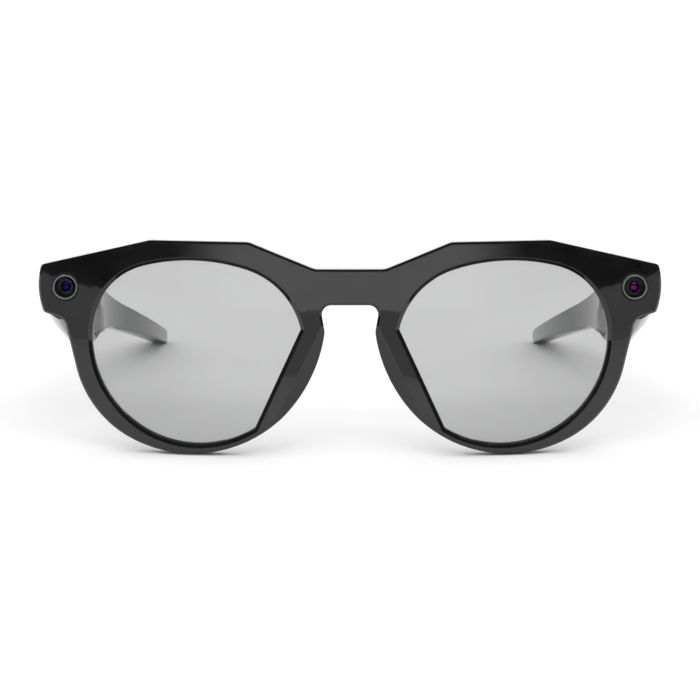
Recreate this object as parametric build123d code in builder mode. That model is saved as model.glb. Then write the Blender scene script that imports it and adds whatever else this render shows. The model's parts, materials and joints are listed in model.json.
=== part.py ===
"""Smart glasses: a camera and an indicator light in the front, open-ear speakers in the temples.

The front is drawn in its own leaning frame: x across, h up along the front, w back into the head.
Left and right are the wearer's, so left is +X. All sizes are in millimetres.
"""

from build123d import *

import os
from math import cos, radians, sin, sqrt, tan

os.makedirs("parts", exist_ok=True)

# ---------------------------------------------------------------- the frame that everything is drawn in
LEAN = 5.0  # the front leans back from the vertical, degrees
DATUM = Vector(0, -78.29, 0.6)  # the foot of the front's centre line, where w and h are zero

up = Vector(0, sin(radians(LEAN)), cos(radians(LEAN)))
back = Vector(0, cos(radians(LEAN)), -sin(radians(LEAN)))
face = Plane(origin=DATUM, x_dir=(1, 0, 0), z_dir=-back)  # sketches in (x, h); offset(-w) goes back
plan = Plane(origin=DATUM, x_dir=(1, 0, 0), z_dir=up)  # sketches in (x, w); offset(h) goes up
side = Plane(origin=DATUM, x_dir=back, z_dir=(1, 0, 0))  # sketches in (w, h); offset(x) goes left

# ---------------------------------------------------------------- driving dimensions: the front
FACE_RADIUS = 250.0  # wrap of the front seen from above
RIM_DEPTH = 4.6
BRIDGE_TOP = 43.7
BRIDGE_UNDER = 35.3
EDGE_BEVEL = 0.5
BEZEL = 0.8  # bevel of the rim around the lens
NOSE_LEAN = -63.3  # lean of the rim beside the nose, degrees
NOSE_BEVEL = 35.0  # how steeply the bevel beside the nose falls back, degrees

LENS_INSET = 1.1  # the lens sits this far behind the front face
LENS_DEPTH = 2.0
GROOVE = 0.7  # how far the lens edge reaches into the rim
LENS_PLAY = 0.04

END_INNER = 62.5  # x of the inner face of the end piece
END_OUTER = 73.8
END_LOW, END_HIGH = 32.9, 44.2
BUTT = 19.3  # w of the face that the temple closes against
BUTT_GAP = 0.3

OPTIC_X, OPTIC_H = 67.3, 39.0  # centre of the camera, and of the indicator on the other side
OPTIC_FRONT = 8.9  # w of the ring's front edge
OPTIC_RADIUS = 3.0
OPTIC_POCKET = 3.2
OPTIC_WALL = 0.5
OPTIC_END = 16.5  # w of the pocket's floor

CONTACT_X, CONTACT_H = 3.0, 39.6
CONTACT_LONG, CONTACT_TALL = 3.4, 1.8
CONTACT_SUNK = 0.6
CONTACT_PROUD = 0.3

# ---------------------------------------------------------------- driving dimensions: the hinge
PIN_X, PIN_W = 62.0, 22.7
PIN_RADIUS = 0.8
PIN_PLAY = 0.04
KNUCKLE_RADIUS = 2.1
KNUCKLE_ROOM = 2.5
HINGE_LOW, HINGE_HIGH = 32.8, 41.2
KNUCKLE_COUNT = 5
KNUCKLE_GAP = 0.12
LEAF = 1.4  # thickness of both leaves
LEAF_END = 32.6  # w where the temple leaf ends
HINGE_SCREW = 0.6

# ---------------------------------------------------------------- driving dimensions: the temples
WALL = 1.6
COVER = 1.4  # thickness of the inner cover
COVER_MARGIN = 1.3  # shell left between the cover and the temple's edges
LEDGE = 0.9  # the cover rests on a ledge this wide
COVER_FRONT, COVER_REAR = 33.6, 62.4
COVER_LOW = ((33.6, 28.4), (47.0, 25.2), (62.4, 25.0))  # the cover's lower edge, (w, h)
ROOM_REAR = 80.0  # the space behind the cover goes on to here, for the speaker
COVER_PLAY = 0.05

TEMPLE_FRONT = BUTT + BUTT_GAP
INNER_EDGE = ((63.3, 64.0), (58.9, 104.0), (51.9, 156.0))  # (x, w): straight, then two bends toward the head
OUTER_EDGE = ((73.8, 38.0), (67.2, 98.0), (57.8, 156.0))
INNER_X = INNER_EDGE[0][0]
TOP_FRONT = 43.5
CROWN = (34.0, 42.4)  # (w, h): from here the top edge runs straight down to the ear
EAR = (112.0, 24.8)
TIP_TOP, TIP_FOOT = (153.0, 16.5), 153.4  # the tip's round end, and w where it meets the floor
KNEE, THROAT = (80.0, 23.9), (50.0, 21.4)  # corners of the underside, (w, h)
BUTT_LOW = 30.5  # the underside slopes down from here to the throat

# Down the temple: w, outer x and h where the outer rounding starts, x and h where it ends underneath,
# the inner face's x, and the size of the bevel along the inner lower edge.
BELLY = (
    (10.0, 74.5, 39.0, 69.4, 33.2, 63.3, 0.6),
    (20.0, 74.5, 36.2, 69.3, 30.2, 63.3, 0.6),
    (35.0, 74.4, 32.4, 69.0, 25.6, 63.3, 0.6),
    (50.0, 74.1, 29.6, 68.4, 21.1, 63.3, 2.2),
    (65.0, 73.1, 30.0, 66.6, 22.3, 63.3, 1.6),
    (90.0, 69.5, 29.0, 63.6, 22.3, 61.4, 0.8),
    (115.0, 64.6, 23.8, 59.2, 18.4, 56.7, 0.6),
    (140.0, 60.4, 19.4, 55.8, 14.4, 53.1, 0.6),
    (165.0, 57.0, 15.4, 54.0, 9.8, 51.6, 0.6),
)

BUTTON_X, BUTTON_W = 68.5, 43.0
BUTTON_LONG, BUTTON_WIDE = 10.0, 2.8
BUTTON_PROUD = 0.5
BUTTON_TRAVEL = 0.4
FLANGE_DEPTH, FLANGE = 3.0, 0.5  # the flange that keeps the button in the temple

SLIDER_W, SLIDER_H = 44.0, 34.6
SLIDER_LONG, SLIDER_TALL = 3.4, 2.2
SLIDER_TRAVEL = 2.0

COVER_SCREWS = ((36.6, 36.2), (37.4, 29.4), (60.2, 28.4))  # (w, h)
SCREW_HEAD, SCREW_SHANK = 0.95, 0.5
SCREW_SUNK = 0.8  # the heads' seats lie this deep in the cover

SPEAKER_W = (66.0, 77.0)
MIC_W, MIC_X = 46.2, 65.0


def save(builder, name):
    """Labels one finished sub-part and writes it as parts/NAME.step."""
    builder.part.label = name
    export_step(builder.part, f"parts/{name}.step")


def save_pair(left_part, name):
    """Saves a left piece, and its mirror image as the right one."""
    with BuildPart() as left:
        add(left_part)
    save(left, f"{name}_left")
    with BuildPart() as right:
        add(left_part)
        mirror(about=Plane.YZ, mode=Mode.REPLACE)
    save(right, f"{name}_right")


def heading(degrees):
    return (cos(radians(degrees)), sin(radians(degrees)))


def surface_depth(x, behind=0.0):
    """w, at x, of the curved surface that lies the given depth behind the front face."""
    return FACE_RADIUS - sqrt((FACE_RADIUS - behind) ** 2 - x**2)


def wrap_slab(start, end):
    """A curved slab that follows the front, from depth start to depth end behind its face."""
    reach = 80.0
    with BuildPart() as slab:
        with BuildSketch(plan.offset(-5)):
            with BuildLine():
                for depth in (start, end):
                    rim = surface_depth(reach, depth)
                    ThreePointArc((-reach, rim), (0, depth), (reach, rim))
                for x in (-reach, reach):
                    Line((x, surface_depth(reach, start)), (x, surface_depth(reach, end)))
            make_face()
        extrude(amount=65)
    return slab.part


# ---------------------------------------------------------------- the front
def front_outline():
    """The left half of the front: bridge, brow, end piece, and the round rim down to the nose."""
    corners = (
        ((8.2, BRIDGE_TOP), 4.0),
        ((23.7, 50.0), 3.0),
        ((47.0, 50.3), 4.0),
        ((73.1, END_HIGH), 1.2),
        ((72.6, END_LOW), 1.0),
        ((67.6, 31.4), 3.0),
        ((5.9, 28.9), 4.0),
        ((7.0, BRIDGE_UNDER), 2.2),
    )
    with BuildSketch(face) as outline:
        with BuildLine():
            brow = Polyline((0, BRIDGE_UNDER), (0, BRIDGE_TOP), (8.2, BRIDGE_TOP), (23.7, 50.0), (47.0, 50.3))
            Line(brow @ 1, (73.1, END_HIGH))
            ThreePointArc((73.1, END_HIGH), (END_OUTER, 38.6), (72.6, END_LOW))
            Polyline((72.6, END_LOW), (67.6, 31.4), (66.6, 27.3))
            rim_side = TangentArc((66.6, 27.3), (64.75, 19.8), tangent=heading(-103.6))
            rim_low = TangentArc(rim_side @ 1, (51.7, 3.45), tangent=rim_side % 1)
            rim_nose = TangentArc(rim_low @ 1, (11.1, 14.6), tangent=rim_low % 1)
            rim_top = TangentArc(rim_nose @ 1, (5.9, 28.9), tangent=rim_nose % 1)
            Polyline(rim_top @ 1, (7.0, BRIDGE_UNDER), (0, BRIDGE_UNDER))
        make_face()
        for corner, radius in corners:
            fillet(outline.vertices().sort_by_distance(corner)[0], radius)
    return outline.sketch


def lens_outline(grow=0.0):
    """The left lens opening: a round lens cut straight on its lower nose side."""
    with BuildSketch(face) as outline:
        with BuildLine():
            nose = TangentArc((11.5, 29.6), (24.2, 43.5), tangent=heading(77.4))
            top = TangentArc(nose @ 1, (48.7, 44.2), tangent=nose % 1)
            temple = TangentArc(top @ 1, (60.9, 30.1), tangent=top % 1)
            cheek = TangentArc(temple @ 1, (47.3, 5.0), tangent=temple % 1)
            low = TangentArc(cheek @ 1, (22.3, 6.2), tangent=cheek % 1)
            Line(low @ 1, nose @ 0)
        make_face()
        if grow:
            offset(amount=grow, kind=Kind.INTERSECTION)
    return outline.sketch


def lens_part(grow, start, end):
    """The lens outline, grown, between two depths behind the front face."""
    with BuildPart() as lens:
        extrude(lens_outline(grow), amount=-30)
        add(wrap_slab(start, end), mode=Mode.INTERSECT)
    return lens.part


def end_piece():
    """The block at the left end of the front, reaching back to where the temple closes."""
    with BuildPart() as block:
        extrude(front_outline(), amount=-BUTT)
        split(bisect_by=side.offset(END_INNER), keep=Keep.TOP)
        split(bisect_by=plan.offset(END_LOW - 2), keep=Keep.TOP)
        add(wrap_slab(-20, 0), mode=Mode.SUBTRACT)
    return block.part


def nose_bevel():
    """The wedge taken off the rim beside the nose, deepest along the nose edge."""
    down = Vector(*heading(NOSE_LEAN), 0)
    start = Plane(origin=(6.2, 31.8, 0), x_dir=(down.Y, -down.X, 0), z_dir=down)
    reach = 9.0
    with BuildPart() as wedge:
        with BuildSketch(face * start):
            Polygon((-1, -3), (0, 0), (reach, reach * tan(radians(NOSE_BEVEL))), (reach, -3), align=None)
        extrude(amount=40)
    return wedge.part


def widest_face(part):
    """The front's curved face, which the bevels start from."""
    return part.faces().filter_by(lambda f: f.area > 1000).sort_by(Axis.Y)[0]


def front_blank():
    """The whole front with its lens openings and grooves, and its softened edges."""
    with BuildPart() as blank:
        extrude(front_outline(), amount=-30)
        add(wrap_slab(0, RIM_DEPTH), mode=Mode.INTERSECT)
        add(end_piece())
        mirror(about=Plane.YZ)
        chamfer(widest_face(blank).outer_wire().edges(), EDGE_BEVEL)
        opening = lens_part(0, -2, 30)
        groove = lens_part(GROOVE, LENS_INSET, LENS_INSET + LENS_DEPTH)
        wedge = nose_bevel()
        add([opening, opening.mirror(Plane.YZ)], mode=Mode.SUBTRACT)
        for wire in widest_face(blank).inner_wires():
            chamfer(wire.edges(), BEZEL)
        add([wedge, wedge.mirror(Plane.YZ)], mode=Mode.SUBTRACT)
        add([groove, groove.mirror(Plane.YZ)], mode=Mode.SUBTRACT)
    return blank.part


def optic_plane(sign, w=0.0):
    """The plane across the camera's axis (sign +1), or the indicator's (sign -1), at depth w."""
    middle = face.from_local_coords((sign * OPTIC_X, OPTIC_H, -w))
    return Plane(origin=middle, x_dir=(1, 0, 0), z_dir=-back)


def contact_plane(sign):
    """The plane of one charging contact, on the back of the bridge, facing back."""
    middle = face.from_local_coords((sign * CONTACT_X, CONTACT_H, -RIM_DEPTH))
    return Plane(origin=middle, x_dir=(-1, 0, 0), z_dir=back)


def leaf_screw_planes(sign):
    """The two screws of a front leaf: planes on the leaf's inner face, facing the nose."""
    places = ((14.9, 35.6), (18.4, 39.4))
    x = sign * (END_INNER - LEAF)
    heads = [side.from_local_coords((w, h, x)) for w, h in places]
    return [Plane(origin=head, x_dir=back, z_dir=(-sign, 0, 0)) for head in heads]


with BuildPart() as front_frame:
    add(front_blank())
    for sign in (1, -1):
        with BuildSketch(optic_plane(sign, 0)):
            Circle(OPTIC_POCKET)
        extrude(amount=-OPTIC_END, mode=Mode.SUBTRACT)
        with BuildSketch(contact_plane(sign).offset(-CONTACT_SUNK)):
            RectangleRounded(CONTACT_LONG, CONTACT_TALL, 0.5)
        extrude(amount=2, mode=Mode.SUBTRACT)
        for screw in leaf_screw_planes(sign):
            with BuildSketch(screw):
                Circle(HINGE_SCREW)
            extrude(amount=-5.0, mode=Mode.SUBTRACT)
save(front_frame, "front_frame")

with BuildPart() as lens:
    add(lens_part(GROOVE - LENS_PLAY, LENS_INSET + LENS_PLAY, LENS_INSET + LENS_DEPTH - LENS_PLAY))
save_pair(lens.part, "lens")

# A pad on the back of the rim, leaning outward the way the side of a nose does.
with BuildPart() as nose_pad:
    for w, x, long, wide in ((4.0, 12.9, 14.0, 4.0), (7.5, 13.9, 13.5, 3.6), (10.0, 14.6, 11.5, 2.4)):
        with BuildSketch(Plane(origin=face.from_local_coords((x, 18.6, -w)), x_dir=(1, 0, 0), z_dir=-back)):
            SlotOverall(long, wide, rotation=NOSE_LEAN)
    loft()
    fillet(nose_pad.faces().sort_by(Axis.Y)[-1].edges(), 0.9)
    add(wrap_slab(-20, RIM_DEPTH), mode=Mode.SUBTRACT)
save_pair(nose_pad.part, "nose_pad")

with BuildPart() as charge_contacts:
    for sign in (1, -1):
        with BuildSketch(contact_plane(sign).offset(-CONTACT_SUNK)):
            RectangleRounded(CONTACT_LONG, CONTACT_TALL, 0.5)
        extrude(amount=CONTACT_SUNK + CONTACT_PROUD)
save(charge_contacts, "charge_contacts")

# The camera and the indicator: a ring around a window, then what lies behind the window.
BEZEL_BACK = OPTIC_FRONT + 2.2
WINDOW_FRONT = OPTIC_FRONT + 0.7
WINDOW_RADIUS = OPTIC_RADIUS - OPTIC_WALL
for sign, optic in ((1, "camera"), (-1, "indicator")):
    with BuildPart() as ring:
        with BuildSketch(optic_plane(sign, OPTIC_FRONT)):
            Circle(OPTIC_RADIUS)
            Circle(WINDOW_RADIUS, mode=Mode.SUBTRACT)
        extrude(amount=-(BEZEL_BACK - OPTIC_FRONT))
        fillet(ring.faces().sort_by(Axis.Y)[0].edges(), 0.15)
    save(ring, f"{optic}_bezel")
    with BuildPart() as glass:
        with BuildSketch(optic_plane(sign, WINDOW_FRONT)):
            Circle(WINDOW_RADIUS)
        extrude(amount=-1.0)
    save(glass, f"{optic}_window")

with BuildPart() as camera_barrel:
    with BuildSketch(optic_plane(1, BEZEL_BACK)):
        Circle(2.9)
    extrude(amount=-3.2)
    with BuildSketch(optic_plane(1, WINDOW_FRONT + 1.0)):
        Circle(2.2)
    extrude(amount=-0.6)
    with BuildSketch(optic_plane(1, WINDOW_FRONT + 1.0)):
        Circle(1.1)
    extrude(amount=-2.4, taper=15, mode=Mode.SUBTRACT)
save(camera_barrel, "camera_barrel")

with BuildPart() as camera_sensor_board:
    with BuildSketch(optic_plane(1, BEZEL_BACK + 3.2)):
        Circle(3.0)
    extrude(amount=-0.8)
    with BuildSketch(optic_plane(1, BEZEL_BACK + 4.0)):
        Rectangle(3.4, 2.6)
    extrude(amount=-1.0)
save(camera_sensor_board, "camera_sensor_board")

with BuildPart() as indicator_light_guide:
    with BuildSketch(optic_plane(-1, WINDOW_FRONT + 1.0)):
        Circle(1.8)
    extrude(amount=-2.6)
save(indicator_light_guide, "indicator_light_guide")

with BuildPart() as indicator_led_board:
    with BuildSketch(optic_plane(-1, WINDOW_FRONT + 4.2)):
        Circle(3.0)
    extrude(amount=-0.8)
    with BuildSketch(optic_plane(-1, WINDOW_FRONT + 3.6)):
        Rectangle(1.6, 1.6)
    extrude(amount=-0.6)
save(indicator_led_board, "indicator_led_board")

# ---------------------------------------------------------------- the hinge, drawn on the left
KNUCKLE_LENGTH = (HINGE_HIGH - HINGE_LOW - (KNUCKLE_COUNT - 1) * KNUCKLE_GAP) / KNUCKLE_COUNT


def knuckle_height(index):
    return HINGE_LOW + index * (KNUCKLE_LENGTH + KNUCKLE_GAP)


def leaf_box(x_range, w_range, low, height):
    """A box of a hinge leaf, between two x and two w, standing on height low."""
    with BuildPart() as block:
        with BuildSketch(plan.offset(low)):
            with Locations((x_range[0], w_range[0])):
                Rectangle(x_range[1] - x_range[0], w_range[1] - w_range[0], align=(Align.MIN, Align.MIN))
        extrude(amount=height)
    return block.part


def hinge_leaf(knuckles, tab_x, tab_w, plate_x, plate_w):
    """A flat leaf with its knuckles around the pin, bored to run on it."""
    with BuildPart() as leaf:
        add(leaf_box(plate_x, plate_w, HINGE_LOW, HINGE_HIGH - HINGE_LOW))
        for index in knuckles:
            add(leaf_box(tab_x, tab_w, knuckle_height(index), KNUCKLE_LENGTH))
            with BuildSketch(plan.offset(knuckle_height(index))):
                with Locations((PIN_X, PIN_W)):
                    Circle(KNUCKLE_RADIUS)
            extrude(amount=KNUCKLE_LENGTH)
        with BuildSketch(plan.offset(HINGE_LOW - 1)):
            with Locations((PIN_X, PIN_W)):
                Circle(PIN_RADIUS + PIN_PLAY)
        extrude(amount=HINGE_HIGH - HINGE_LOW + 2, mode=Mode.SUBTRACT)
    return leaf.part


with BuildPart() as hinge_front_leaf:
    inner = END_INNER - LEAF
    thickness = (inner, END_INNER)
    add(hinge_leaf(range(0, KNUCKLE_COUNT, 2), thickness, (19, PIN_W), thickness, (13.2, 20.0)))
    for screw in leaf_screw_planes(1):
        with BuildSketch(screw):
            Circle(HINGE_SCREW)
        extrude(amount=-LEAF, mode=Mode.SUBTRACT)
        with BuildSketch(screw):
            Circle(1.1)
        extrude(amount=-0.5, taper=45, mode=Mode.SUBTRACT)
save_pair(hinge_front_leaf.part, "hinge_front_leaf")

with BuildPart() as hinge_screws:
    for screw in leaf_screw_planes(1):
        with BuildSketch(screw):
            Circle(1.1)
        extrude(amount=-0.5, taper=45)
        with BuildSketch(screw):
            Circle(HINGE_SCREW)
        extrude(amount=-4.6)
        with BuildSketch(screw):
            Rectangle(1.4, 0.25)
        extrude(amount=-0.25, mode=Mode.SUBTRACT)
save_pair(hinge_screws.part, "hinge_screws")

with BuildPart() as hinge_pin:
    with BuildSketch(plan.offset(HINGE_LOW - 0.2)):
        with Locations((PIN_X, PIN_W)):
            Circle(PIN_RADIUS)
    extrude(amount=HINGE_HIGH - HINGE_LOW + 0.2)
    with BuildSketch(plan.offset(HINGE_HIGH)):
        with Locations((PIN_X, PIN_W)):
            Circle(1.4)
    extrude(amount=0.6)
    with BuildSketch(plan.offset(HINGE_HIGH + 0.6)):
        with Locations((PIN_X, PIN_W)):
            Rectangle(2.0, 0.35)
    extrude(amount=-0.3, mode=Mode.SUBTRACT)
save_pair(hinge_pin.part, "hinge_pin")

temple_leaf_plate = ((INNER_X, INNER_X + LEAF), (PIN_W + KNUCKLE_ROOM, LEAF_END))
with BuildPart() as hinge_temple_leaf:
    add(hinge_leaf(range(1, KNUCKLE_COUNT, 2), (62.7, 64.1), (PIN_W, 26.2), *temple_leaf_plate))
save_pair(hinge_temple_leaf.part, "hinge_temple_leaf")


# ---------------------------------------------------------------- the temples, drawn on the left
outside = side.offset(40)  # side outlines drawn here are extruded outward through the temple


def floor_height(w):
    """h of the floor, which the rims and the temple tips stand on."""
    return (w * sin(radians(LEAN)) - DATUM.Z) / cos(radians(LEAN))


def top_height(w):
    """h of the straight part of the top edge."""
    return CROWN[1] + (w - CROWN[0]) * (EAR[1] - CROWN[1]) / (EAR[0] - CROWN[0])


def plan_strip(near_edge, near_shift, far_edge, far_shift):
    """What lies between two edges seen from above, each moved outward by its shift."""
    ends = []
    with BuildSketch(plan) as strip:
        with BuildLine():
            for edge, shift in ((near_edge, near_shift), (far_edge, far_shift)):
                (x1, w1), (x2, w2), (x3, w3) = edge
                front = Line((x1 + shift, 10), (x1 + shift, w1))
                bend = TangentArc(front @ 1, (x2 + shift, w2), tangent=front % 1)
                ear = TangentArc(bend @ 1, (x3 + shift, w3), tangent=bend % 1)
                ends.append((front @ 0, ear @ 1))
            for near_end, far_end in zip(*ends):
                Line(near_end, far_end)
        make_face()
    return strip.sketch


def side_outline(inset=0.0):
    """Side view of the temple, or of the space inside its walls."""
    corners = ((KNEE, 30), (THROAT, 16))
    low = [(w, h + inset) for (w, h), radius in corners]
    with BuildSketch(outside) as outline:
        with BuildLine():
            top_front = (TEMPLE_FRONT, TOP_FRONT - inset)
            crown = TangentArc(top_front, (CROWN[0], CROWN[1] - inset), tangent=(1, 0))
            slope = Line(crown @ 1, (EAR[0], EAR[1] - inset))
            ear = TangentArc(slope @ 1, (TIP_TOP[0], TIP_TOP[1] - inset), tangent=slope % 1)
            tip = TangentArc(ear @ 1, (TIP_FOOT, floor_height(TIP_FOOT)), tangent=ear % 1)
            Polyline(tip @ 1, *low, (TEMPLE_FRONT, BUTT_LOW + inset), crown @ 0)
        make_face()
        for corner, (place, radius) in zip(low, corners):
            fillet(outline.vertices().sort_by_distance(corner)[0], radius)
    return outline.sketch


def belly(inset=0.0):
    """A body whose underside is rounded outside and bevelled inside, the way the temple's is."""
    above, within = 60.0, 6.0
    with BuildPart() as body:
        for w, outer, high, foot, low, inner, bevel in BELLY:
            outer = outer - inset
            low = low + inset
            with BuildSketch(face.offset(-w)):
                with BuildLine():
                    TangentArc((outer, high), (foot, low), tangent=(-0.2, -1))
                    Polyline((foot, low), (inner + bevel, low), (inner - within, low + bevel + within))
                    Polyline((inner - within, low + bevel + within), (inner - within, above), (outer, above))
                    Line((outer, above), (outer, high))
                make_face()
        loft(ruled=True)
    return body.part


def temple_body(inset=0.0):
    """The whole temple, or the smaller body that its walls leave inside."""
    with BuildPart() as body:
        extrude(plan_strip(INNER_EDGE, inset / 2, OUTER_EDGE, -inset), amount=60)
        extrude(side_outline(inset), amount=40, mode=Mode.INTERSECT)
        add(belly(inset), mode=Mode.INTERSECT)
    return body.part


def cover_outline(grow=0.0, rear=COVER_REAR, plane=side):
    """Side view of the inner cover, which follows the temple's edges."""
    margin = COVER_MARGIN - grow
    front = COVER_FRONT - grow
    rear = rear + grow
    front_low, bend, rear_low = (h - grow for w, h in COVER_LOW)
    with BuildSketch(plane) as outline:
        Polygon(
            (front, front_low),
            (COVER_LOW[1][0], bend),
            (rear, rear_low),
            (rear, top_height(rear) - margin),
            (front, top_height(front) - margin),
            align=None,
        )
        fillet(outline.vertices(), 1.4)
    return outline.sketch


def inner_slab(start, end):
    """The slab between two depths behind the temple's inner face, along its whole curve."""
    return extrude(plan_strip(INNER_EDGE, start, INNER_EDGE, end), amount=60, mode=Mode.PRIVATE)


def temple_region(inset, outline):
    """The part of the temple, or of the space inside its walls, that a side outline takes in."""
    with BuildPart() as region:
        add(temple_body(inset))
        extrude(outline, amount=40, mode=Mode.INTERSECT)
    return region.part


def cover_screw_plane(w, h):
    """A plane on the temple's inner face at one cover screw, facing the head."""
    return Plane(origin=side.from_local_coords((w, h, INNER_X)), x_dir=back, z_dir=(-1, 0, 0))


along_top = (side.from_local_coords((*EAR, 0)) - side.from_local_coords((*CROWN, 0))).normalized()
button_origin = side.from_local_coords((BUTTON_W, top_height(BUTTON_W), BUTTON_X))
button_plane = Plane(origin=button_origin, x_dir=(1, 0, 0), z_dir=Vector(1, 0, 0).cross(along_top))
slider_origin = side.from_local_coords((SLIDER_W, SLIDER_H, INNER_X))
slider_plane = Plane(origin=slider_origin, x_dir=back, z_dir=(-1, 0, 0))

temple_blank = temple_body()
cavity = temple_region(WALL, cover_outline(-LEDGE, ROOM_REAR, outside))
cover_slab = inner_slab(-3, COVER)


def screw_posts():
    """Posts from the outer wall to the cover, which the cover screws bite into."""
    with BuildPart() as posts:
        for w, h in COVER_SCREWS:
            with BuildSketch(cover_screw_plane(w, h)):
                Circle(1.5)
            extrude(amount=-12)
        add(temple_blank, mode=Mode.INTERSECT)
        add(cover_slab, mode=Mode.SUBTRACT)
    return posts.part


posts = screw_posts()
cover_pocket = extrude(cover_outline(COVER_PLAY, plane=outside), amount=40, mode=Mode.PRIVATE)
cover_blank = extrude(cover_outline(plane=outside), amount=40, mode=Mode.PRIVATE)

with BuildPart() as inner_room:
    add(cavity)
    add(cover_slab, mode=Mode.SUBTRACT)

with BuildPart() as pocket:
    add(cover_pocket)
    add(cover_slab, mode=Mode.INTERSECT)

# Places inside the temples, and the openings that each piece needs in the shell or the cover.
speaker_box = ((64.9, 67.9), SPEAKER_W, (27.0, 29.8))  # (x range, w range, h range)
grille_box = ((64.4, 67.6), SPEAKER_W, (18.0, 25.4))
sound_way = ((64.8, 67.0), (SPEAKER_W[0] + 1, SPEAKER_W[1] - 1), (25.2, 28.0))
mic_box = ((MIC_X, MIC_X + 3.0), (MIC_W, MIC_W + 3.6), (26.4, 27.5))
battery_box = ((64.9, 69.2), (39.2, 58.4), (28.0, 32.3))


def block(ranges, corner=0.0):
    """A box from its x, w and h ranges, with its upright corners rounded."""
    (x1, x2), (w1, w2), (h1, h2) = ranges
    with BuildPart() as box:
        with BuildSketch(plan.offset(h1)):
            with Locations(((x1 + x2) / 2, (w1 + w2) / 2)):
                if corner:
                    RectangleRounded(x2 - x1, w2 - w1, corner)
                else:
                    Rectangle(x2 - x1, w2 - w1)
        extrude(amount=h2 - h1)
    return box.part


def button_slot(long, wide, start, height):
    """A slot-shaped block along the top edge, measured from the temple's top surface."""
    with BuildPart() as slot:
        with BuildSketch(button_plane.offset(start)):
            SlotOverall(long, wide, rotation=90)
        extrude(amount=height)
    return slot.part


def make_shell(side_name):
    """The outer shell of one temple; the right one has the capture button's slot."""
    with BuildPart() as shell:
        add(temple_blank)
        add(pocket.part, mode=Mode.SUBTRACT)
        add(inner_room.part, mode=Mode.SUBTRACT)
        add(posts)
        with BuildSketch(plan.offset(HINGE_LOW - 0.8)):
            with Locations((PIN_X, PIN_W)):
                Circle(KNUCKLE_ROOM)
            with Locations((60, BUTT)):
                Rectangle(4.5, 7.2, align=(Align.MIN, Align.MIN))
        extrude(amount=HINGE_HIGH - HINGE_LOW + 2.2, mode=Mode.SUBTRACT)
        leaf_room = leaf_box((60, INNER_X + LEAF), (PIN_W, LEAF_END), HINGE_LOW, HINGE_HIGH - HINGE_LOW)
        add(leaf_room, mode=Mode.SUBTRACT)
        for w, h in COVER_SCREWS:
            with BuildSketch(cover_screw_plane(w, h)):
                Circle(SCREW_SHANK)
            extrude(amount=-4.2, mode=Mode.SUBTRACT)
        add(block(grille_box), mode=Mode.SUBTRACT)
        add(block(sound_way), mode=Mode.SUBTRACT)
        with BuildSketch(plan.offset(18)):
            with Locations((MIC_X + 1.6, MIC_W + 1.8)):
                Circle(0.45)
        extrude(amount=9, mode=Mode.SUBTRACT)
        if side_name == "right":
            slot = button_slot(BUTTON_LONG + 0.5, BUTTON_WIDE + 0.5, -6, 8)
            add(slot, mode=Mode.SUBTRACT)
    return shell.part


def make_cover(side_name):
    """The inner cover of one temple; the left one has the power slider's slot."""
    with BuildPart() as cover:
        add(temple_blank)
        add(cover_blank, mode=Mode.INTERSECT)
        add(inner_slab(-3, COVER - COVER_PLAY), mode=Mode.INTERSECT)
        for w, h in COVER_SCREWS:
            with BuildSketch(cover_screw_plane(w, h)):
                Circle(SCREW_SHANK)
            extrude(amount=-4, both=True, mode=Mode.SUBTRACT)
            with BuildSketch(cover_screw_plane(w, h).offset(-SCREW_SUNK)):
                Circle(SCREW_HEAD)
            extrude(amount=2, mode=Mode.SUBTRACT)
        if side_name == "left":
            with BuildSketch(slider_plane):
                with Locations((SLIDER_TRAVEL / 2, 0)):
                    RectangleRounded(SLIDER_LONG + SLIDER_TRAVEL + 0.6, SLIDER_TALL + 0.6, 0.6)
            extrude(amount=-4, both=True, mode=Mode.SUBTRACT)
    return cover.part


def save_side(part, name, side_name):
    """Saves a piece drawn on the left, mirrored if it belongs on the right."""
    with BuildPart() as piece:
        add(part)
        if side_name == "right":
            mirror(about=Plane.YZ, mode=Mode.REPLACE)
    save(piece, name)


for side_name in ("left", "right"):
    save_side(make_shell(side_name), f"temple_shell_{side_name}", side_name)
    save_side(make_cover(side_name), f"temple_cover_{side_name}", side_name)

with BuildPart() as cover_screws:
    for w, h in COVER_SCREWS:
        with BuildSketch(cover_screw_plane(w, h).offset(-SCREW_SUNK)):
            Circle(SCREW_HEAD)
        extrude(amount=SCREW_SUNK - 0.1)
        with BuildSketch(cover_screw_plane(w, h).offset(-SCREW_SUNK)):
            Circle(SCREW_SHANK)
        extrude(amount=-3.0)
        with BuildSketch(cover_screw_plane(w, h).offset(-0.1)):
            RegularPolygon(0.5, 6)
        extrude(amount=-0.4, mode=Mode.SUBTRACT)
save_pair(cover_screws.part, "cover_screws")

with BuildPart() as speaker:
    add(block(speaker_box, 0.8))
save_pair(speaker.part, "speaker")

with BuildPart() as speaker_grille:
    add(temple_blank)
    add(block(grille_box), mode=Mode.INTERSECT)
    slot_step = 1.2
    slots = int((SPEAKER_W[1] - SPEAKER_W[0] - 1.6) / slot_step)
    for index in range(slots):
        w = SPEAKER_W[0] + 1.4 + index * slot_step
        with BuildSketch(plan.offset(20)):
            with Locations((66.0, w)):
                SlotOverall(2.2, 0.55)
        extrude(amount=8, mode=Mode.SUBTRACT)
save_pair(speaker_grille.part, "speaker_grille")

with BuildPart() as microphone:
    add(block(mic_box))
save_pair(microphone.part, "microphone")

with BuildPart() as battery_left:
    add(block(battery_box, 1.2))
save(battery_left, "battery_left")

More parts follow.
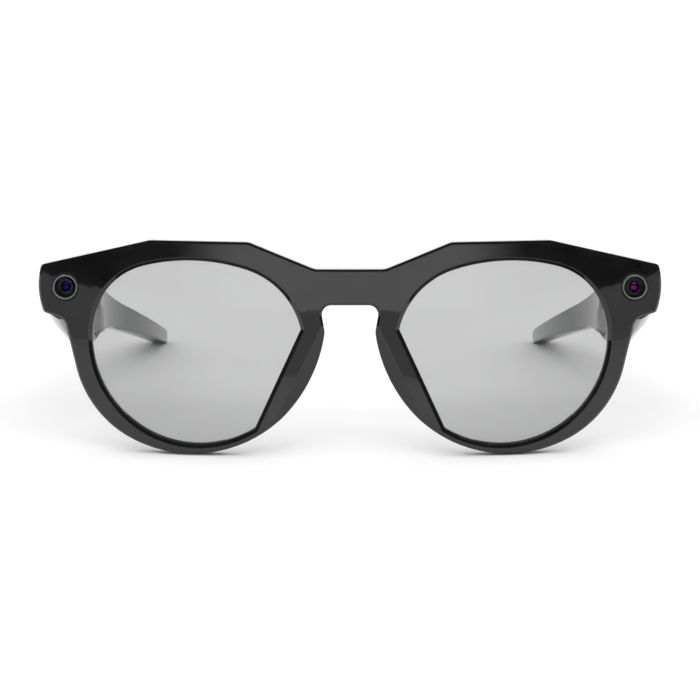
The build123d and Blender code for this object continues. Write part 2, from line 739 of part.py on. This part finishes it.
# The main board stands behind the right cover, with its chips on the outer side.
board_x = -65.3
with BuildPart() as main_board_right:
    add(block(((board_x - 0.8, board_x), (40.4, 58.2), (28.0, 34.0))))
    for w1, w2, h1, h2 in ((41.4, 46.0, 28.6, 32.6), (47.6, 51.2, 29.0, 32.0), (53.0, 57.0, 28.4, 31.2)):
        add(block(((board_x - 1.9, board_x - 0.8), (w1, w2), (h1, h2))))
save(main_board_right, "main_board_right")

# A thin touch pad lies against the inside of the right temple's outer wall.
with BuildPart() as touch_sensor_right:
    with BuildSketch(outside):
        with Locations((46.5, 32.6)):
            Rectangle(13, 4.4)
    extrude(amount=40)
    add(temple_body(WALL), mode=Mode.INTERSECT)
    add(temple_body(WALL + 0.4), mode=Mode.SUBTRACT)
    split(bisect_by=side.offset(68), keep=Keep.TOP)
save_side(touch_sensor_right.part, "touch_sensor_right", "right")

with BuildPart() as capture_button:
    add(button_slot(BUTTON_LONG, BUTTON_WIDE, -FLANGE_DEPTH, FLANGE_DEPTH + BUTTON_PROUD))
    fillet(capture_button.faces().sort_by(Axis.Z)[-1].edges(), 0.3)
    add(button_slot(BUTTON_LONG + 1.6, BUTTON_WIDE + 1.6, -FLANGE_DEPTH - FLANGE, FLANGE))
save_side(capture_button.part, "capture_button", "right")

with BuildPart() as capture_switch:
    plunger_top = FLANGE_DEPTH + FLANGE + BUTTON_TRAVEL + 0.1
    with BuildSketch(button_plane.offset(-plunger_top - 1.6)):
        Rectangle(3.2, 4.2)
    extrude(amount=1.2)
    with BuildSketch(button_plane.offset(-plunger_top - 0.4)):
        Circle(0.8)
    extrude(amount=0.4)
save_side(capture_switch.part, "capture_switch", "right")

# The slider's knob stands in the cover's slot, and its flange keeps it behind the cover.
with BuildPart() as power_slider:
    with BuildSketch(slider_plane.offset(0.3)):
        RectangleRounded(SLIDER_LONG, SLIDER_TALL, 0.4)
    extrude(amount=-(0.3 + COVER + 0.25))
    for index in range(3):
        with BuildSketch(slider_plane.offset(0.3)):
            with Locations(((index - 1) * 0.9, 0)):
                Rectangle(0.3, SLIDER_TALL)
        extrude(amount=-0.2, mode=Mode.SUBTRACT)
    with BuildSketch(slider_plane.offset(-(COVER + 0.25))):
        Rectangle(SLIDER_LONG + 2.4, SLIDER_TALL + 1.2)
    extrude(amount=-0.5)
save(power_slider, "power_slider")

with BuildPart() as power_switch_board:
    with BuildSketch(slider_plane.offset(-(COVER + 1.3))):
        Rectangle(8.0, 4.0)
    extrude(amount=-1.6)
save(power_switch_board, "power_switch_board")
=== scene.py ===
"""Glossy black smart glasses on a white table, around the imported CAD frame. Metres throughout.

The CAD gives every shape and place, except for the camera's barrel and the indicator's light guide,
which are turned here in finer detail, each with a domed lens element in front. This script adds those,
the surface finishes, the studio and the camera.
"""

import json
from math import cos, pi, radians, sin

import bmesh
import bpy
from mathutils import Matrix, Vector


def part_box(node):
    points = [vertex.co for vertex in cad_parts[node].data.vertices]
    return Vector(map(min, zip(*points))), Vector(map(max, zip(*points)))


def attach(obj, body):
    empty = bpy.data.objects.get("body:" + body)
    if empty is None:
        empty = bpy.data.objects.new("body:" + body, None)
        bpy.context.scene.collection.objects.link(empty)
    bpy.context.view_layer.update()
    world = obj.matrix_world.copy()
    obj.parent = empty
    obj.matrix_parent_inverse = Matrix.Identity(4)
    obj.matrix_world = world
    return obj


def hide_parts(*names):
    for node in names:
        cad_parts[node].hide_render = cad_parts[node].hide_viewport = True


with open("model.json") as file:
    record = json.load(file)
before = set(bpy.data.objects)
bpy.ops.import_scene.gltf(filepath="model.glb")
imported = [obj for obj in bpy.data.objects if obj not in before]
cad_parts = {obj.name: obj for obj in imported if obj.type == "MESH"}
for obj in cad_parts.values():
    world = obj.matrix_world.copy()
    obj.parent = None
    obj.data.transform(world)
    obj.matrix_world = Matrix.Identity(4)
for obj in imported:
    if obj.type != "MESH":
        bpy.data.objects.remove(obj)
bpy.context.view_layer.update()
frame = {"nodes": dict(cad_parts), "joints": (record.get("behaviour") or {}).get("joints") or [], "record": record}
MM = 0.001
X_AXIS = Vector((1, 0, 0))
NOISE_LOW, NOISE_HIGH = 0.35, 0.65  # most of a noise texture's values lie between these


# ---------------------------------------------------------------- shader helpers
def link(tree, source, target):
    tree.links.new(source, target)


def new_material(name):
    """A material with a plain Principled shader, its node tree and the shader."""
    material = bpy.data.materials.new(name)
    material.use_nodes = True
    tree = material.node_tree
    shader = tree.nodes["Principled BSDF"]
    return material, tree, shader


def connect(tree, shader, colour, roughness=None, normal=None):
    """Feeds the shader's colour, and its roughness and normal if given, from other nodes."""
    for socket, source in (("Base Color", colour), ("Roughness", roughness), ("Normal", normal)):
        if source is not None:
            link(tree, source, shader.inputs[socket])


def noise(tree, scale, detail=4.0, stretch=(1, 1, 1)):
    """A noise texture in object space, scale in cycles per metre, optionally stretched."""
    coords = tree.nodes.new("ShaderNodeTexCoord")
    mapping = tree.nodes.new("ShaderNodeMapping")
    mapping.inputs["Scale"].default_value = stretch
    texture = tree.nodes.new("ShaderNodeTexNoise")
    texture.inputs["Scale"].default_value = scale
    texture.inputs["Detail"].default_value = detail
    texture.inputs["Roughness"].default_value = 0.55
    link(tree, coords.outputs["Object"], mapping.inputs["Vector"])
    link(tree, mapping.outputs["Vector"], texture.inputs["Vector"])
    return texture.outputs["Fac"]


def ramp(tree, source, low, high, start=NOISE_LOW, end=NOISE_HIGH, smooth=False):
    """Maps the values from start to end onto low to high, in a straight line or an S curve."""
    node = tree.nodes.new("ShaderNodeMapRange")
    if smooth:
        node.interpolation_type = "SMOOTHSTEP"
    node.inputs["From Min"].default_value = start
    node.inputs["From Max"].default_value = end
    node.inputs["To Min"].default_value = low
    node.inputs["To Max"].default_value = high
    link(tree, source, node.inputs["Value"])
    return node.outputs["Result"]


def mix_colour(tree, source, low, high, start=NOISE_LOW, end=NOISE_HIGH):
    """Maps the values from start to end onto two linear RGBA colours."""
    node = tree.nodes.new("ShaderNodeValToRGB")
    for element, position, colour in zip(node.color_ramp.elements, (start, end), (low, high)):
        element.position = position
        element.color = colour
    link(tree, source, node.inputs["Fac"])
    return node.outputs["Color"]


def multiply(tree, first, second):
    """The product of a socket and another socket or a number."""
    node = tree.nodes.new("ShaderNodeMath")
    node.operation = "MULTIPLY"
    link(tree, first, node.inputs[0])
    if isinstance(second, float):
        node.inputs[1].default_value = second
    else:
        link(tree, second, node.inputs[1])
    return node.outputs[0]


def bump(tree, source, distance, normal=None):
    """A normal with relief as deep as distance, on top of another normal if one is given."""
    node = tree.nodes.new("ShaderNodeBump")
    node.inputs["Distance"].default_value = distance
    link(tree, source, node.inputs["Height"])
    if normal is not None:
        link(tree, normal, node.inputs["Normal"])
    return node.outputs["Normal"]


def soft_edge(tree, radius):
    """A normal that rounds every sharp edge by a small radius, as polishing does."""
    node = tree.nodes.new("ShaderNodeBevel")
    node.samples = 6
    node.inputs["Radius"].default_value = radius
    return node.outputs["Normal"]


def split_coordinates(tree, kind):
    """The X, Y and Z sockets of one kind of texture coordinate."""
    coords = tree.nodes.new("ShaderNodeTexCoord")
    split = tree.nodes.new("ShaderNodeSeparateXYZ")
    link(tree, coords.outputs[kind], split.inputs["Vector"])
    return split.outputs


# ---------------------------------------------------------------- materials
def gloss_black():
    """Polished injection-moulded plastic: near black, with faint polishing haze."""
    material, tree, shader = new_material("gloss_black")
    haze = noise(tree, scale=140.0)
    ripple = noise(tree, scale=2600.0, detail=2.0)
    colour = mix_colour(tree, haze, (0.0045, 0.0045, 0.0048, 1), (0.0075, 0.0075, 0.0078, 1))
    edges = soft_edge(tree, radius=0.22 * MM)
    connect(tree, shader, colour, ramp(tree, haze, 0.01, 0.022), bump(tree, ripple, 0.0001 * MM, edges))
    shader.inputs["IOR"].default_value = 1.5
    return material


def satin_black():
    """Fine-grained moulded plastic, for the covers inside the temples."""
    material, tree, shader = new_material("satin_black")
    grain = noise(tree, scale=5200.0, detail=3.0)
    patch = noise(tree, scale=90.0)
    colour = mix_colour(tree, patch, (0.008, 0.008, 0.0085, 1), (0.013, 0.013, 0.0135, 1))
    connect(tree, shader, colour, ramp(tree, grain, 0.26, 0.40), bump(tree, grain, 0.012 * MM))
    return material


def metal(name, colour, roughness, brushed=(1, 1, 14), scale=2200.0):
    """Metal with fine lines in its colour, roughness and relief, drawn out by the brushed stretch."""
    material, tree, shader = new_material(name)
    lines = noise(tree, scale, detail=2.0, stretch=brushed)
    dark = tuple(c * 0.72 for c in colour[:3]) + (1.0,)
    rough = ramp(tree, lines, roughness * 0.75, roughness * 1.35)
    connect(tree, shader, mix_colour(tree, lines, dark, colour), rough, bump(tree, lines, 0.004 * MM))
    shader.inputs["Metallic"].default_value = 1.0
    return material


def tinted_lens():
    """Clear plastic with a light neutral tint: what is behind shows through, slightly darker."""
    material, tree, shader = new_material("tinted_lens")
    cloud = noise(tree, scale=18.0, detail=1.0)
    colour = mix_colour(tree, cloud, (0.03, 0.033, 0.035, 1), (0.04, 0.042, 0.044, 1))
    connect(tree, shader, colour, ramp(tree, cloud, 0.012, 0.02))
    shader.inputs["Alpha"].default_value = 0.31
    shader.inputs["IOR"].default_value = 1.5
    return material


def window_glass():
    """Clear cover glass with an anti-reflective coating, over a dark opening."""
    material, tree, shader = new_material("window_glass")
    cloud = noise(tree, scale=420.0, detail=1.0)
    connect(tree, shader, mix_colour(tree, cloud, (0.002, 0.002, 0.003, 1), (0.003, 0.003, 0.004, 1)))
    shader.inputs["Roughness"].default_value = 0.03
    shader.inputs["Specular IOR Level"].default_value = 0.06
    shader.inputs["Alpha"].default_value = 0.12
    return material


def coated_element(name, core, edge):
    """The curved front of a lens element: a coloured coating that darkens toward its edge."""
    material, tree, shader = new_material(name)
    facing = tree.nodes.new("ShaderNodeLayerWeight")
    facing.inputs["Blend"].default_value = 0.35
    connect(tree, shader, mix_colour(tree, facing.outputs["Facing"], core, edge, start=0.0, end=0.5))
    shader.inputs["Metallic"].default_value = 1.0
    shader.inputs["Roughness"].default_value = 0.09
    return material


def plastic(name, low, high, roughness, grain=3000.0, depth=0.006 * MM):
    """Plain plastic speckled between two colours, with a fine grain."""
    material, tree, shader = new_material(name)
    speckle = noise(tree, grain, detail=3.0)
    rough = ramp(tree, speckle, roughness * 0.85, roughness * 1.15)
    connect(tree, shader, mix_colour(tree, speckle, low, high), rough, bump(tree, speckle, depth))
    return material


GLOSS = gloss_black()
WINDOW = window_glass()
MAGENTA = coated_element("magenta_coating", core=(0.16, 0.01, 0.16, 1), edge=(0.01, 0.004, 0.02, 1))
VIOLET = coated_element("violet_coating", core=(0.012, 0.008, 0.12, 1), edge=(0.003, 0.003, 0.02, 1))
BAFFLE = plastic(
    "matt_baffle",
    (0.003, 0.003, 0.003, 1),
    (0.005, 0.005, 0.005, 1),
    roughness=0.6,
    grain=9000.0,
    depth=0.003 * MM,
)
CASE = plastic("component_case", (0.012, 0.012, 0.012, 1), (0.02, 0.02, 0.02, 1), roughness=0.5)

BY_SLOT = {
    "frame_plastic": GLOSS,
    "cover_plastic": satin_black(),
    "lens": tinted_lens(),
    "pad_plastic": GLOSS,
    "hinge_metal": metal("brushed_steel", (0.42, 0.42, 0.43, 1), roughness=0.32),
    "screw_metal": metal("screw_steel", (0.34, 0.34, 0.35, 1), roughness=0.28, scale=4000.0),
    "contact_metal": metal("gold_contact", (0.78, 0.55, 0.22, 1), roughness=0.24),
    "ring_metal": metal("ring_polished", (0.17, 0.17, 0.175, 1), roughness=0.3, brushed=(1, 1, 1)),
    "window_glass": WINDOW,
    "black_metal": metal("black_anodised", (0.012, 0.012, 0.012, 1), roughness=0.45),
    "circuit_board": plastic("solder_mask", (0.004, 0.03, 0.014, 1), (0.008, 0.05, 0.022, 1), roughness=0.4),
    "light_guide": plastic("light_guide", (0.55, 0.56, 0.6, 1), (0.7, 0.7, 0.72, 1), roughness=0.3),
    "grille_metal": metal("grille_metal", (0.025, 0.025, 0.026, 1), roughness=0.4),
    "component_case": CASE,
    "battery_foil": metal("battery_foil", (0.6, 0.6, 0.62, 1), roughness=0.35),
    "sensor_film": plastic("sensor_film", (0.25, 0.12, 0.02, 1), (0.33, 0.17, 0.03, 1), roughness=0.35),
    "control_plastic": GLOSS,
}
for row in frame["record"]["subparts"]:
    finishes = frame["nodes"][row["node"]].data.materials
    finishes.clear()
    finishes.append(BY_SLOT[row["material_slot"]])


# ---------------------------------------------------------------- small pieces behind the two windows
UP = Vector(next(joint["axis"] for joint in frame["joints"] if joint["name"] == "fold_left")).normalized()
FORWARD = X_AXIS.cross(UP)
SPOKES = 64  # corners round a turned piece
DOME_RINGS = 10
HALF_WINDOW = 0.5  # mm, half the thickness of a window

# The walls of the stepped pieces, from the outside in: the radius of each and the depth where it ends, mm.
BARREL_FLOOR = -3.7
BARREL_WALLS = [(2.9, -0.5), (2.2, -0.02), (1.95, -0.16), (1.65, -0.32), (1.3, -0.64)]
GUIDE_FLOOR = -2.6
GUIDE_WALLS = [(1.8, -0.02), (1.5, -0.2), (1.2, -0.5)]


def ring_of(work, radius, centre):
    """The vertices of one ring of a turned piece, or its single vertex on the axis."""
    if radius == 0:
        return [work.verts.new(centre)]
    angles = [2 * pi * k / SPOKES for k in range(SPOKES)]
    return [work.verts.new(centre + (X_AXIS * cos(angle) + UP * sin(angle)) * radius) for angle in angles]


def lathe(name, profile, centre):
    """A turned piece: (radius, height) points spun about the optic axis, which points forward."""
    work = bmesh.new()
    rings = [ring_of(work, radius, centre + FORWARD * height) for radius, height in profile]
    for low, high in zip(rings, rings[1:]):
        for k in range(SPOKES):
            here, there = k % len(low), (k + 1) % len(low)
            above, beyond = k % len(high), (k + 1) % len(high)
            corners = dict.fromkeys((low[here], low[there], high[beyond], high[above]))
            work.faces.new(list(corners))
    bmesh.ops.recalc_face_normals(work, faces=work.faces)
    mesh = bpy.data.meshes.new(name)
    work.to_mesh(mesh)
    work.free()
    piece = bpy.data.objects.new(name, mesh)
    bpy.context.scene.collection.objects.link(piece)
    return piece


def stepped(floor, walls):
    """The profile of a stepped well: from its floor, up its outside and down the steps inside it."""
    profile = [(0, floor)]
    for radius, end in walls:
        profile += [(radius, profile[-1][1]), (radius, end)]
    return profile + [(0, profile[-1][1])]


def dome(radius, rise, base):
    """The profile of a shallow dome standing on depth base."""
    ball = (radius**2 + rise**2) / (2 * rise)
    radii = [radius * k / DOME_RINGS for k in range(DOME_RINGS + 1)]
    return [(r, base + rise - ball + (ball**2 - r**2) ** 0.5) for r in radii] + [(0, base)]


def turned(name, profile, window, material, replaced=()):
    """A turned piece whose (radius, depth) points, in mm, are measured from the back of a window."""
    low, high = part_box(window)
    centre = (low + high) / 2 - FORWARD * HALF_WINDOW * MM
    piece = lathe(name, [(radius * MM, depth * MM) for radius, depth in profile], centre)
    piece.data.materials.append(material)
    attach(piece, "front")
    if replaced:
        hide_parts(*replaced)
    return piece


def stepped_piece(name, profile, window, replaced):
    """A matt stepped well with flat faces, in place of a plain CAD node."""
    piece = turned(name, profile, window, BAFFLE, replaced)
    piece.data.shade_flat()


def front_element(name, profile, window, coating):
    """A smooth coated dome behind a window."""
    piece = turned(name, profile, window, coating)
    piece.data.shade_smooth()


barrel = stepped(BARREL_FLOOR, BARREL_WALLS)
guide = stepped(GUIDE_FLOOR, GUIDE_WALLS)
camera_dome = dome(radius=1.28, rise=0.36, base=-0.62)
indicator_dome = dome(radius=1.18, rise=0.32, base=-0.48)
stepped_piece("camera_baffled_barrel", barrel, "camera_window", ["camera_barrel"])
front_element("camera_front_element", camera_dome, "camera_window", MAGENTA)
stepped_piece("indicator_baffled_guide", guide, "indicator_window", ["indicator_light_guide"])
front_element("indicator_front_element", indicator_dome, "indicator_window", VIOLET)

# ---------------------------------------------------------------- studio
WHITE_LEVEL = 1.22  # the surroundings, as the camera and soft light see them
GLOW_LEVEL = 0.12  # the surroundings behind the glasses, as mirror reflections see them
TABLE_NEAR, TABLE_FAR, TABLE_HALF_WIDTH = -1.5, 6.0, 6.0
SKIRT_TOP, SKIRT_HEIGHT = 0.0455, 0.4
CAMERA_PLACE = (0, -0.7745, 0.1518)
CAMERA_DOWN = 10.26  # degrees below the level
CAMERA_LENS, CAMERA_SENSOR = 156.2, 36.0  # mm


def surroundings():
    """White for the camera and soft light. Mirrored rays see a dim glow behind the glasses, else black."""
    world = bpy.data.worlds.new("surroundings")
    bpy.context.scene.world = world
    world.use_nodes = True
    tree = world.node_tree
    white = tree.nodes["Background"]
    white.inputs["Color"].default_value = (1, 1, 1, 1)
    white.inputs["Strength"].default_value = WHITE_LEVEL
    glossy = tree.nodes.new("ShaderNodeBackground")
    depth = split_coordinates(tree, "Generated")["Y"]
    link(tree, ramp(tree, depth, 0.0, GLOW_LEVEL, start=-0.1, end=0.35), glossy.inputs["Color"])
    choose = tree.nodes.new("ShaderNodeMixShader")
    path = tree.nodes.new("ShaderNodeLightPath")
    link(tree, path.outputs["Is Glossy Ray"], choose.inputs["Fac"])
    link(tree, white.outputs["Background"], choose.inputs[1])
    link(tree, glossy.outputs["Background"], choose.inputs[2])
    link(tree, choose.outputs["Shader"], tree.nodes["World Output"].inputs["Surface"])


def rectangle(name, low, high):
    """A level rectangle between two (x, y) corners."""
    mesh = bpy.data.meshes.new(name)
    corners = [(low[0], low[1], 0), (high[0], low[1], 0), (high[0], high[1], 0), (low[0], high[1], 0)]
    mesh.from_pydata(corners, [], [(0, 1, 2, 3)])
    piece = bpy.data.objects.new(name, mesh)
    bpy.context.scene.collection.objects.link(piece)
    return piece


def table():
    """A white table, from behind the camera to far behind the glasses."""
    floor = rectangle("floor", (-TABLE_HALF_WIDTH, TABLE_NEAR), (TABLE_HALF_WIDTH, TABLE_FAR))
    material, tree, shader = new_material("white_table")
    grain = noise(tree, scale=60.0)
    connect(tree, shader, mix_colour(tree, grain, (0.93, 0.93, 0.93, 1), (0.95, 0.95, 0.95, 1)))
    shader.inputs["Roughness"].default_value = 0.7
    shader.inputs["Specular IOR Level"].default_value = 0.2
    floor.data.materials.append(material)


def glow(name, width, height, strength, soft):
    """Light that is even in the middle of a card and fades over the soft share of each half of it."""
    material, tree, shader = new_material(name)
    tree.nodes.remove(shader)
    place = split_coordinates(tree, "Object")
    fades = []
    for axis, half in (("X", width / 2), ("Y", height / 2)):
        away = tree.nodes.new("ShaderNodeMath")
        away.operation = "ABSOLUTE"
        link(tree, place[axis], away.inputs[0])
        fades.append(ramp(tree, away.outputs[0], 1.0, 0.0, half * (1 - soft), half, smooth=True))
    emission = tree.nodes.new("ShaderNodeEmission")
    link(tree, multiply(tree, multiply(tree, *fades), strength), emission.inputs["Strength"])
    link(tree, emission.outputs["Emission"], tree.nodes["Material Output"].inputs["Surface"])
    return material


def card(name, centre, size, target, strength, soft=0.45):
    """A lit card that faces its target. The camera doesn't see it, and it casts no shadow."""
    width, height = size
    panel = rectangle(name, (-width / 2, -height / 2), (width / 2, height / 2))
    panel.location = centre
    direction = Vector(target) - Vector(centre)
    panel.rotation_euler = direction.to_track_quat("Z", "Y").to_euler()
    panel.data.materials.append(glow(name, width, height, strength, soft))
    panel.visible_camera = False
    panel.visible_shadow = False


def lights():
    """A broad card for the bridge, a strip above for the edges, and a low skirt, all behind the camera.

    The skirt's sharp top edge draws the level line that the end pieces reflect.
    """
    middle = (0, -0.07, 0.035)
    skirt_middle = SKIRT_TOP - SKIRT_HEIGHT / 2
    card("bridge_card", (0, -1.9, 0.10), (1.64, 0.9), middle, strength=1.7)
    card("edge_strip", (0, -0.9, 0.75), (1.8, 0.2), middle, strength=6.0)
    ahead = (0, 0, skirt_middle)
    card("skirt", (0, -1.45, skirt_middle), (6.0, SKIRT_HEIGHT), ahead, strength=0.75, soft=0.0001)


def camera():
    """A long lens, a little above the glasses, looking slightly down at them."""
    data = bpy.data.cameras.new("camera")
    data.lens = CAMERA_LENS
    data.sensor_width = CAMERA_SENSOR
    data.clip_start = 0.01
    view = bpy.data.objects.new("camera", data)
    view.location = CAMERA_PLACE
    view.rotation_euler = (radians(90 - CAMERA_DOWN), 0, 0)
    bpy.context.scene.collection.objects.link(view)
    bpy.context.scene.camera = view


surroundings()
table()
lights()
camera()
bpy.context.scene.view_settings.view_transform = "Standard"
